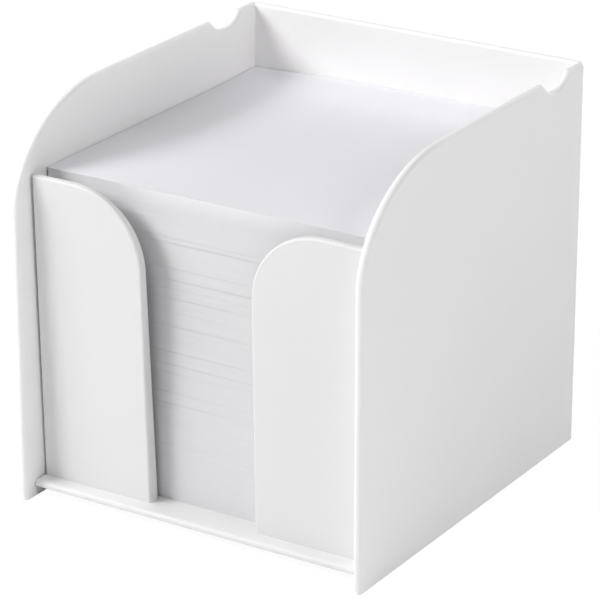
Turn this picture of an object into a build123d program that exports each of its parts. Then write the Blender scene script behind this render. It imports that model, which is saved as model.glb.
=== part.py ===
"""Holder for loose square memo sheets, with a drawer that slides out at the front.

Frame: +X right, +Y back, +Z up, millimetres. The origin is on the surface that the
holder stands on, under the middle of its outline.
"""

from build123d import *
from math import radians, tan
import os

# ---- memo sheets: driving dimensions ----
# The square sheets set the width and depth of everything that holds them. They lie
# against the left and back walls, so the slack is on the right and at the front.
sheet_width = 89.0
sheet_left_clearance = 0.4
sheet_right_clearance = 1.6
sheet_front_clearance = 0.9
sheet_back_clearance = 0.3
sheet_caliper = 0.1
sheets_per_bundle = 100
full_bundles = 7
sheets_in_open_bundle = 61
loose_sheet_count = 4
loose_sheet_clearance = 0.3

# ---- housing: driving dimensions ----
housing_height = 98.0
wall = 2.0
back_corner_radius = 2.2
inner_corner_radius = 0.2
rim_radius = 0.95

# The front top corner of each side wall is a quarter of an ellipse.
front_curve_depth = 34.0
front_curve_height = 26.0

# A pen rests across the two side walls in a round notch.
pen_notch_radius = 7.5
pen_notch_depth = 3.4
pen_notch_from_back = 15.0
pen_notch_lip_radius = 1.2

floor_thickness = 1.6
floor_above_table = 0.7
floor_setback = 16.0

# ---- drawer: driving dimensions ----
drawer_side_clearance = 0.3
drawer_floor_clearance = 0.3
drawer_back_clearance = 0.6
tray_thickness = 1.6
tray_setback = 3.4
tray_lip_radius = 0.9
tray_underside_radius = 0.4

flap_height = 76.8
flap_foot_setback = 4.0
flap_foot_thickness = 3.4
flap_top_thickness = 2.0
flap_lean = 1.65
flap_side_draft = 0.3
flap_gap = 29.3
flap_gap_draft = 0.4
flap_curve_radius = 18.5
flap_edge_radius = 0.6

length_tolerance = 0.01
facing_tolerance = 0.1
quarter_turn = 90

# ---- places worked out from the sizes above ----
inner_width = sheet_left_clearance + sheet_width + sheet_right_clearance
housing_width = inner_width + 2 * wall
sheets_setback = tray_setback + flap_foot_setback + flap_foot_thickness + sheet_front_clearance
housing_depth = sheets_setback + sheet_width + sheet_back_clearance + wall

front = -housing_depth / 2
back = housing_depth / 2
inner_back = back - wall
curve_bottom = housing_height - front_curve_height

pen_notch_y = back - pen_notch_from_back
pen_notch_z = housing_height - pen_notch_depth + pen_notch_radius

floor_top = floor_above_table + floor_thickness
floor_front = front + floor_setback

tray_bottom = floor_top + drawer_floor_clearance
tray_top = tray_bottom + tray_thickness
tray_front = front + tray_setback
tray_back = inner_back - drawer_back_clearance
tray_width = inner_width - 2 * drawer_side_clearance

flap_front = tray_front + flap_foot_setback
flap_top = tray_top + flap_height
flap_top_front = flap_front - flap_height * tan(radians(flap_lean))
flap_inner_foot = flap_gap / 2
flap_inner_top = flap_inner_foot + flap_gap_draft
flap_outer_top = tray_width / 2 - flap_side_draft

bundle_height = sheets_per_bundle * sheet_caliper
open_bundle_height = sheets_in_open_bundle * sheet_caliper
loose_sheet_height = loose_sheet_count * sheet_caliper
sheet_x = sheet_left_clearance + sheet_width / 2 - inner_width / 2
sheet_y = front + sheets_setback + sheet_width / 2

os.makedirs("parts", exist_ok=True)


def save(piece, name):
    """Labels one finished piece and writes it to its own file."""
    piece.part.label = name
    export_step(piece.part, f"parts/{name}.step")


def spans_wall(shape):
    """Tells whether a face or edge is exactly one wall wide from left to right."""
    return abs(shape.bounding_box().size.X - wall) < length_tolerance


def faces_front_or_back(face):
    """Tells whether a face looks forward or backward, or leans only a little from that."""
    return abs(face.normal_at().Y) > 1 - facing_tolerance


# ---- housing ----
# The wall ring is drawn in plan, open at the front, and then cut to the side outline.
with BuildPart() as housing:
    with BuildSketch() as wall_plan:
        Rectangle(housing_width, housing_depth)
        back_corners = wall_plan.vertices().group_by(Axis.Y)[-1]
        fillet(back_corners, back_corner_radius)
        with BuildSketch(mode=Mode.SUBTRACT) as well_plan:
            with Locations((0, -wall)):
                Rectangle(inner_width, housing_depth)
            well_corners = well_plan.vertices().group_by(Axis.Y)[-1]
            fillet(well_corners, inner_corner_radius)
    extrude(amount=housing_height)

    with BuildSketch(Plane.YZ) as side_outline:
        with BuildLine():
            Polyline((front, curve_bottom), (front, 0), (back, 0), (back, housing_height),
                     (front + front_curve_depth, housing_height))
            EllipticalCenterArc((front + front_curve_depth, curve_bottom),
                                front_curve_depth, front_curve_height,
                                start_angle=quarter_turn, arc_size=quarter_turn)
        make_face()
        with Locations((pen_notch_y, pen_notch_z)):
            Circle(pen_notch_radius, mode=Mode.SUBTRACT)
        notch_lips = side_outline.vertices().sort_by_distance((pen_notch_y, housing_height))[:2]
        fillet(notch_lips, pen_notch_lip_radius)
    extrude(amount=housing_width, both=True, mode=Mode.INTERSECT)

    # The rim runs up the front edges, over the curves and notches and along the back.
    # Its faces are one wall wide, and only the edges that cross it stay sharp.
    rim_faces = housing.faces().filter_by(lambda face: spans_wall(face))
    rim_faces += housing.faces().filter_by(Plane.XY).sort_by(Axis.Z)[-1:]
    rim_edges = rim_faces.edges().filter_by(lambda edge: not spans_wall(edge))
    fillet(rim_edges, rim_radius)

    # The floor ties the walls together and carries the drawer.
    with BuildSketch(Plane.XY.offset(floor_above_table)):
        with Locations((0, (floor_front + inner_back) / 2)):
            Rectangle(inner_width, inner_back - floor_front)
    extrude(amount=floor_thickness)

save(housing, "housing")

# ---- drawer ----
# Both flaps are drawn together: a leaning, tapering section across the whole width,
# cut to the outline that the front shows.
with BuildPart() as drawer:
    with BuildSketch(Plane.YZ) as flap_section:
        Polygon((flap_front, tray_top), (flap_front + flap_foot_thickness, tray_top),
                (flap_top_front + flap_top_thickness, flap_top), (flap_top_front, flap_top),
                align=None)
    extrude(amount=tray_width / 2, both=True)

    with BuildSketch(Plane.XZ) as flap_outline:
        Polygon((flap_inner_foot, tray_top), (tray_width / 2, tray_top),
                (flap_outer_top, flap_top), (flap_inner_top, flap_top), align=None)
        inner_corner = flap_outline.vertices().sort_by_distance((flap_inner_top, flap_top))[0]
        fillet(inner_corner, flap_curve_radius)
        mirror(about=Plane.YZ)
    extrude(amount=housing_depth, both=True, mode=Mode.INTERSECT)
    broad_faces = drawer.faces().filter_by(lambda face: faces_front_or_back(face))
    free_edges = broad_faces.edges().filter_by(lambda edge: edge.center().Z > tray_top + length_tolerance)
    fillet(free_edges, flap_edge_radius)

    # The tray lies under the sheets and stands out in front of the flaps as a lip.
    with BuildSketch(Plane.XY.offset(tray_bottom)):
        with Locations((0, (tray_front + tray_back) / 2)):
            Rectangle(tray_width, tray_back - tray_front)
    extrude(amount=tray_thickness)
    lip_underside, lip_top = drawer.edges().filter_by(Axis.X).group_by(Axis.Y)[0].sort_by(Axis.Z)
    fillet(lip_top, tray_lip_radius)
    fillet(lip_underside, tray_underside_radius)

save(drawer, "drawer")

# ---- memo sheets ----
# The stack is full bundles, then the one that is being used up, then loose top sheets.
def sheet_block(bottom, height):
    """Returns a square block of sheets that lies at the given height."""
    with BuildPart(Plane.XY.offset(bottom)) as block:
        with Locations((sheet_x, sheet_y)):
            Box(sheet_width, sheet_width, height, align=(Align.CENTER, Align.CENTER, Align.MIN))
    return block


for number in range(full_bundles):
    bundle = sheet_block(tray_top + number * bundle_height, bundle_height)
    save(bundle, f"sheet_bundle_{number + 1}")

open_bundle_bottom = tray_top + full_bundles * bundle_height
open_bundle = sheet_block(open_bundle_bottom, open_bundle_height)
save(open_bundle, "open_sheet_bundle")

loose_sheet_bottom = open_bundle_bottom + open_bundle_height + loose_sheet_clearance
loose_sheets = sheet_block(loose_sheet_bottom, loose_sheet_height)
save(loose_sheets, "loose_top_sheets")
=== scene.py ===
# %% [markdown]
# # A memo sheet holder
# The real object is two white plastic mouldings, a housing and a drawer, and a stack of
# loose square memo sheets. The solids come in as a fixed frame. The mouldings keep their
# solids and get a finish, and the plain blocks of paper are replaced by separate sheets.

# %% Load the frame
import math
import random

import bmesh
import bpy
from mathutils import Matrix, Vector


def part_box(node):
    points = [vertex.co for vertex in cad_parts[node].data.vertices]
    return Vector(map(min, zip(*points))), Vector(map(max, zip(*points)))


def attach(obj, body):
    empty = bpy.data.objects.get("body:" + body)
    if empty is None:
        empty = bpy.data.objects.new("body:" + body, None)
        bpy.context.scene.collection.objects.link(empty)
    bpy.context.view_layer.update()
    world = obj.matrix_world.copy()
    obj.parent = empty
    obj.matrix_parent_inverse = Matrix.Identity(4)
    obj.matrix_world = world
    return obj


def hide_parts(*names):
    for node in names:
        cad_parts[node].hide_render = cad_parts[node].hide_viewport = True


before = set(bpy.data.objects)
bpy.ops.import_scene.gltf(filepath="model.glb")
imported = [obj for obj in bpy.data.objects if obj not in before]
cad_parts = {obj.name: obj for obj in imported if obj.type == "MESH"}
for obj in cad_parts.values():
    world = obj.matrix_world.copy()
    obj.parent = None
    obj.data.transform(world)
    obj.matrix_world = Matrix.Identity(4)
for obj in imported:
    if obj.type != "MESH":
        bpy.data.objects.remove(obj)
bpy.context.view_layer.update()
MM = 0.001

# %% [markdown]
# ## The camera
# The picture was taken with a long lens, from the right and from some 20 degrees above the
# table. A short lens close by would make the box look wedge-shaped, so the camera stands
# about 0.8 m away, with a lens of about 197 mm on a sensor of 36 mm. The picture is square.

# %% Set up the camera
camera_data = bpy.data.cameras.new("portrait_camera")
camera_data.sensor_width = 36
camera_data.lens = 197.1
camera_data.clip_start = 0.05
camera_data.clip_end = 50
camera = bpy.data.objects.new("portrait_camera", camera_data)
camera.location = (0.3885, -0.6171, 0.33635)
camera.rotation_euler = (math.radians(68.15), 0, math.radians(32.25))
bpy.context.scene.collection.objects.link(camera)
bpy.context.scene.camera = camera
print("Camera", round(camera.location.length, 3), "m from the middle of the base")

# %% [markdown]
# ## Colours and shader nodes
# A colour picked on a screen is an sRGB value, while shaders reckon with linear light, so
# one function turns the one into the other. One helper adds a shader node, fills in its
# settings and links its inputs, and every finish below is written with it.

# %% Helpers for colours and nodes
def linear(hex_colour):
    """Turns an sRGB hex colour into the linear colour that a shader takes."""
    channels = [int(hex_colour[i:i + 2], 16) / 255 for i in (0, 2, 4)]
    return [c / 12.92 if c <= 0.04045 else ((c + 0.055) / 1.055) ** 2.4
            for c in channels] + [1.0]


def add_node(tree, kind, settings=None, links=None):
    """Adds a shader node. Settings are inputs or properties, links are inputs to fill."""
    node = tree.nodes.new(kind)
    for name, value in (settings or {}).items():
        if isinstance(name, str) and hasattr(node, name):
            setattr(node, name, value)
        else:
            node.inputs[name].default_value = value
    for name, output in (links or {}).items():
        tree.links.new(output, node.inputs[name])
    return node


def new_material(name):
    """Starts an empty material and returns it with its node tree."""
    material = bpy.data.materials.new(name)
    material.use_nodes = True
    material.node_tree.nodes.clear()
    return material, material.node_tree


print("White is", linear("FFFFFF"), "and middle grey is", round(linear("808080")[0], 3))

# %% [markdown]
# ## White moulded polystyrene
# Both mouldings are white polystyrene. It bends light strongly (an IOR of 1.59), and its
# pigment makes it an opaque, nearly neutral white. The drawer's copy is painted a little
# greyer, as painted shade on its flaps and lip. The mould is finely blasted, so the gloss is
# satin: highlights are soft and broad. The melt cools a little unevenly, so a wall is never
# perfectly flat, and its gloss wanders over some 30 mm.

# %% Make the plastic
FLOW_SIZE = 30 * MM
# The blasted skin is finer than this, and is drawn coarser so that it shows.
SKIN_GRAIN = 0.6 * MM


def make_plastic(name, light, dark):
    """White injection-moulded polystyrene with a satin gloss, in two near whites."""
    material, tree = new_material(name)
    where = add_node(tree, "ShaderNodeTexCoord").outputs["Object"]
    flow = add_node(tree, "ShaderNodeTexNoise",
                    {"Scale": 1 / FLOW_SIZE, "Detail": 2.0}, {"Vector": where})
    grain = add_node(tree, "ShaderNodeTexNoise",
                     {"Scale": 1 / SKIN_GRAIN, "Detail": 3.0}, {"Vector": where})
    colour = add_node(tree, "ShaderNodeMix",
                      {"data_type": "RGBA", 6: linear(dark), 7: linear(light)},
                      {0: flow.outputs["Fac"]})
    gloss = add_node(tree, "ShaderNodeMapRange",
                     {"To Min": 0.50, "To Max": 0.58}, {"Value": flow.outputs["Fac"]})
    sink = add_node(tree, "ShaderNodeBump",
                    {"Strength": 0.25, "Distance": 0.05 * MM}, {"Height": flow.outputs["Fac"]})
    skin = add_node(tree, "ShaderNodeBump",
                    {"Strength": 0.08, "Distance": 0.01 * MM},
                    {"Height": grain.outputs["Fac"], "Normal": sink.outputs["Normal"]})
    surface = add_node(tree, "ShaderNodeBsdfPrincipled", {"IOR": 1.59},
                       {"Base Color": colour.outputs[2], "Roughness": gloss.outputs["Result"],
                        "Normal": skin.outputs["Normal"]})
    add_node(tree, "ShaderNodeOutputMaterial", {}, {"Surface": surface.outputs["BSDF"]})
    return material


housing_plastic = make_plastic("moulded_polystyrene_housing", "F6F5F5", "F3F2F2")
# The drawer's copy is a greyer white: painted shade for its flaps and lip.
drawer_plastic_painted_shade = make_plastic("moulded_polystyrene_drawer_painted_shade", "E6E6E6", "E4E4E4")
for node_name, finish in (("housing", housing_plastic), ("drawer", drawer_plastic_painted_shade)):
    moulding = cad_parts[node_name].data
    moulding.materials.clear()
    moulding.materials.append(finish)
    print(node_name, "keeps its", len(moulding.polygons), "faces and gets", finish.name)

# %% [markdown]
# ## Memo paper
# The sheets are uncoated white paper. It is quite matt, and its fibres give it a faint
# mottle. Where a guillotine has cut the stack, the edges show as fine level streaks, so
# the cut edges get a finish of their own. That finish is painted lighter towards the top of
# the stack: painted light, for the top sheets that stand clear of the flaps' shade. It reads
# the height from Object coordinates, which are real heights here, because every piece sits
# at the origin.

# %% Make the paper finishes
LATE_SHEETS_FROM = 77.2 * MM
TOP_OF_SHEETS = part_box("loose_top_sheets")[1].z
# The painted light starts a little below the late sheets, so that no hard edge shows.
PAINTED_LIGHT_FROM = LATE_SHEETS_FROM - 1 * MM
MOTTLE_SIZE = 0.5 * MM
STREAK_LENGTH = 15 * MM
# A streak is drawn two sheets thick, because one sheet is finer than a pixel.
STREAK_THICKNESS = 0.2 * MM


def make_paper(name, light, dark, grain_size, bump, painted_light_colour=None):
    """Uncoated paper: two near whites mixed by a mottle of the given size, in metres.

    Where a colour of painted light is given, the paper turns to it from below the late sheets to
    the top.
    """
    material, tree = new_material(name)
    where = add_node(tree, "ShaderNodeTexCoord").outputs["Object"]
    stretched = add_node(tree, "ShaderNodeMapping",
                         {"Scale": [1 / size for size in grain_size]}, {"Vector": where})
    mottle = add_node(tree, "ShaderNodeTexNoise", {"Scale": 1.0, "Detail": 3.0},
                      {"Vector": stretched.outputs["Vector"]})
    colour = add_node(tree, "ShaderNodeMix",
                      {"data_type": "RGBA", 6: linear(dark), 7: linear(light)},
                      {0: mottle.outputs["Fac"]}).outputs[2]
    if painted_light_colour:
        # Painted light: the cut edges turn lighter towards the top of the stack.
        height = add_node(tree, "ShaderNodeSeparateXYZ", {}, {"Vector": where}).outputs["Z"]
        painted_light_share = add_node(tree, "ShaderNodeMapRange",
                       {"From Min": PAINTED_LIGHT_FROM, "From Max": TOP_OF_SHEETS},
                       {"Value": height})
        colour = add_node(tree, "ShaderNodeMix", {"data_type": "RGBA", 7: linear(painted_light_colour)},
                          {0: painted_light_share.outputs["Result"], 6: colour}).outputs[2]
    relief = add_node(tree, "ShaderNodeBump", {"Strength": bump, "Distance": 0.02 * MM},
                      {"Height": mottle.outputs["Fac"]})
    surface = add_node(tree, "ShaderNodeBsdfPrincipled", {"Roughness": 0.85, "IOR": 1.5},
                       {"Base Color": colour, "Normal": relief.outputs["Normal"]})
    add_node(tree, "ShaderNodeOutputMaterial", {}, {"Surface": surface.outputs["BSDF"]})
    return material


paper_face = make_paper("uncoated_paper", "E8E7EB", "E4E3E7",
                        (MOTTLE_SIZE, MOTTLE_SIZE, MOTTLE_SIZE), bump=0.3)
# The cut-edge finish also holds painted light, lighter towards the top of the stack.
paper_edge_and_painted_light = make_paper("uncoated_paper_cut_edge_painted_light", "E3E2E4", "DEDDDF",
                        (STREAK_LENGTH, STREAK_LENGTH, STREAK_THICKNESS), bump=0.2,
                        painted_light_colour="EDECEE")
print("Made", paper_face.name, "and", paper_edge_and_painted_light.name)

# %% [markdown]
# ## One sheet, and what becomes of a pile
# A sheet is 89 mm square and 0.1 mm thick. A texture could only paint the lines on the
# front of the stack, so every sheet is a thin block of its own, with a trace of air above
# it. A block of six faces is enough, because there are hundreds of them. The sheets of one
# node are kept in one mesh, which takes the node's place and rides on its body.

# %% Helpers for laying sheets
SHEET = 0.1 * MM
AIR = 0.006 * MM


def lay_sheet(mesh, low, high, insets):
    """Adds one sheet as a thin block between two corners, pulled in on its four sides."""
    left, right, near, far = insets
    size = (high.x - low.x - left - right, high.y - low.y - near - far, high.z - low.z)
    centre = ((high.x + low.x + left - right) / 2, (high.y + low.y + near - far) / 2,
              (high.z + low.z) / 2)
    place = Matrix.Translation(centre) @ Matrix.Diagonal((*size, 1))
    return bmesh.ops.create_cube(mesh, size=1, matrix=place)["verts"]


def finish_paper(mesh, name, node_name, body):
    """Turns a bmesh of sheets into a piece that stands for its node and rides on a body."""
    mesh.normal_update()
    for face in mesh.faces:
        is_level = abs(face.normal.z) > 0.5
        face.material_index = 0 if is_level else 1
    data = bpy.data.meshes.new(name)
    mesh.to_mesh(data)
    mesh.free()
    data.materials.append(paper_face)
    data.materials.append(paper_edge_and_painted_light)
    piece = bpy.data.objects.new(name, data)
    bpy.context.scene.collection.objects.link(piece)
    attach(piece, body)
    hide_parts(node_name)
    print(name, "has", len(data.polygons), "faces and rides on the", body)


# %% [markdown]
# ## The stack of sheets
# The stack is knocked up by hand, so each sheet stands back from the front by a hair, and
# neighbours that were cut together stand back together. The last few millimetres below the
# top were put in later and stand a little further forward. Here and there one sheet was
# parted from its neighbours and lies a little further in, which shows as a thin dark line.

# %% Lay the sheets of each bundle
STAND_BACK = 0.15 * MM
LATE_STAND_BACK = 0.05 * MM
PARTED_BACK = 0.09 * MM
PARTED_TURN = 0.06
CUT_TOGETHER = (3, 14)
BLOCK_UNEVENNESS = 0.08
SHEET_UNEVENNESS = 0.03
# Heights above the table of the parted sheets.
parted = [z * MM for z in (70.25, 69.05, 62.95, 60.05, 55.55, 48.55, 42.05, 38.85, 28.95)]
chance = random.Random(7)


def lay_bundle(node_name):
    """Fills a paper node with its sheets."""
    low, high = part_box(node_name)
    count = round((high.z - low.z) / SHEET)
    mesh = bmesh.new()
    left_in_block = 0
    for number in range(count):
        if left_in_block == 0:
            left_in_block = chance.randint(*CUT_TOGETHER)
            block = [chance.uniform(0, BLOCK_UNEVENNESS) * MM for _ in range(4)]
        left_in_block -= 1
        bottom = low.z + number * SHEET
        insets = [b + chance.uniform(0, SHEET_UNEVENNESS) * MM for b in block]
        insets[2] += LATE_STAND_BACK if bottom > LATE_SHEETS_FROM else STAND_BACK
        is_parted = any(bottom <= height < bottom + SHEET for height in parted)
        insets[2] += is_parted * PARTED_BACK
        sheet = lay_sheet(mesh, Vector((low.x, low.y, bottom)),
                          Vector((high.x, high.y, bottom + SHEET - AIR)), insets)
        if is_parted:
            turn = math.radians(chance.uniform(-PARTED_TURN, PARTED_TURN))
            bmesh.ops.rotate(mesh, verts=sheet, cent=(low + high) / 2,
                             matrix=Matrix.Rotation(turn, 3, "Z"))
    print(node_name, "is", count, "sheets")
    finish_paper(mesh, node_name + "_sheets", node_name, "drawer")


bundle_names = [name for name in sorted(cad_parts) if "bundle" in name]
for node_name in bundle_names:
    lay_bundle(node_name)

# %% [markdown]
# ## The loose top sheets
# The topmost sheets have been fingered. They are turned against each other by a fraction
# of a degree, so that their corners fan out, and their far edge curls up a little against
# the back wall, least at the left corner. They have been pushed to within a hair of the
# left and back walls. A sheet starts as a fine grid, is bent by moving its vertices, and
# gets its thickness last.

# %% Bend and fan the top sheets
CURL = 1.45 * MM
CURL_LENGTH = 24 * MM
# The left corner curls least, and the full curl is reached this far from it.
LEFT_SHARE = 0.3
CURL_SPREAD = 28 * MM
FAN_TURN = 0.08
PUSHED = Vector((-0.25 * MM, 0.17 * MM, 0))
top_low, top_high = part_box("loose_top_sheets")
bundles_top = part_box("open_sheet_bundle")[1].z
top_count = round((top_high.z - bundles_top) / SHEET)


def curl_at(x, y):
    """How high the far edge of a top sheet has curled up at this place."""
    along = min(max((y - top_high.y + CURL_LENGTH) / CURL_LENGTH, 0), 1)
    across = min(max((x - top_low.x) / CURL_SPREAD, 0), 1)
    eased = across * across * (3 - 2 * across)
    return CURL * along ** 2 * (LEFT_SHARE + (1 - LEFT_SHARE) * eased)


top_mesh = bmesh.new()
top_centre = (top_low + top_high) / 2
half_side = (top_high.x - top_low.x) / 2
for number in range(top_count):
    turn = math.radians(chance.uniform(-FAN_TURN, FAN_TURN))
    lift = bundles_top + AIR + (number + 0.5) * SHEET
    sheet = bmesh.ops.create_grid(top_mesh, x_segments=24, y_segments=32,
                                  size=half_side)["verts"]
    bmesh.ops.rotate(top_mesh, verts=sheet, cent=(0, 0, 0), matrix=Matrix.Rotation(turn, 3, "Z"))
    place = Vector((top_centre.x, top_centre.y, lift)) + PUSHED
    bmesh.ops.translate(top_mesh, verts=sheet, vec=place)
    for corner in sheet:
        corner.co.z += curl_at(corner.co.x, corner.co.y)
bmesh.ops.solidify(top_mesh, geom=top_mesh.faces[:], thickness=SHEET - AIR)
bmesh.ops.recalc_face_normals(top_mesh, faces=top_mesh.faces[:])
print("The top is", top_count, "loose sheets")
finish_paper(top_mesh, "loose_top_sheets_fanned", "loose_top_sheets", "top_sheets")

# %% [markdown]
# ## The floor
# The object was photographed on a seamless white ground, so brightly lit that hardly any
# shadow is left on it. A matt white floor would show the full contact shadow. So the camera
# sees mostly a glow, while the object still gets the soft light that a matt white floor
# throws back. The floor is stage, not part of the object.

# %% Lay the floor
FLOOR_REACH = 4
FLOOR_GLOW = 0.9
floor_mesh = bmesh.new()
bmesh.ops.create_grid(floor_mesh, x_segments=1, y_segments=1, size=FLOOR_REACH)
floor_data = bpy.data.meshes.new("floor")
floor_mesh.to_mesh(floor_data)
floor_mesh.free()
floor = bpy.data.objects.new("floor", floor_data)
bpy.context.scene.collection.objects.link(floor)
floor_paint, floor_tree = new_material("matt_white_floor")
seen = add_node(floor_tree, "ShaderNodeLightPath").outputs["Is Camera Ray"]
share = add_node(floor_tree, "ShaderNodeMath", {"operation": "MULTIPLY", 1: FLOOR_GLOW},
                 {0: seen})
matt = add_node(floor_tree, "ShaderNodeBsdfDiffuse", {"Color": linear("F8F8F8")})
glow = add_node(floor_tree, "ShaderNodeEmission", {"Color": linear("FFFFFF"), "Strength": 1.05})
floor_mix = add_node(floor_tree, "ShaderNodeMixShader", {},
                     {0: share.outputs["Value"], 1: matt.outputs["BSDF"],
                      2: glow.outputs["Emission"]})
add_node(floor_tree, "ShaderNodeOutputMaterial", {}, {"Surface": floor_mix.outputs["Shader"]})
floor_data.materials.append(floor_paint)
print("The floor reaches", FLOOR_REACH, "m each way, and", FLOOR_GLOW, "of it is seen as glow")

# %% [markdown]
# ## The lights
# Soft square lights stand around the object, all of one size and at one distance, so only
# their directions and powers differ. The two keys stand to the left of the camera. They
# cast the soft double shadow of the left flap's edge on the paper, and leave the inside of
# the left wall in shade. A high and a low light open up the right wall, one from the front
# and above fills in, and two from behind light the back and the floor there.

# %% Set up the lights
LIGHT_DISTANCE = 1.6
LIGHT_SIZE = 0.5
LIGHT_TARGET = Vector((0, 0, 0.05))
WORLD_LIGHT = 0.03


def add_softbox(name, azimuth, elevation, power):
    """Adds a soft light. Azimuth 0 is in front, positive to the right, in degrees."""
    across, up = math.radians(azimuth), math.radians(elevation)
    place = LIGHT_DISTANCE * Vector((math.sin(across) * math.cos(up),
                                     -math.cos(across) * math.cos(up), math.sin(up)))
    light = bpy.data.lights.new(name, "AREA")
    light.shape = "SQUARE"
    light.size = LIGHT_SIZE
    light.energy = power
    lamp = bpy.data.objects.new(name, light)
    lamp.location = place
    lamp.rotation_euler = (LIGHT_TARGET - place).to_track_quat("-Z", "Y").to_euler()
    bpy.context.scene.collection.objects.link(lamp)
    print(name, "shines with", power, "W")


add_softbox("key_softbox", azimuth=-40, elevation=35, power=12)
add_softbox("second_key_softbox", azimuth=-60, elevation=35, power=7.5)
add_softbox("right_high_softbox", azimuth=80, elevation=35, power=6.0)
add_softbox("right_low_softbox", azimuth=93, elevation=12, power=3.4)
add_softbox("front_top_softbox", azimuth=0, elevation=60, power=4.8)
add_softbox("back_low_softbox", azimuth=175, elevation=12, power=11)
add_softbox("back_high_softbox", azimuth=-140, elevation=60, power=4)

world = bpy.data.worlds.new("studio")
world.use_nodes = True
world.node_tree.nodes["Background"].inputs["Color"].default_value = linear("FFFFFF")
world.node_tree.nodes["Background"].inputs["Strength"].default_value = WORLD_LIGHT
bpy.context.scene.world = world
bpy.context.scene.view_settings.view_transform = "Standard"
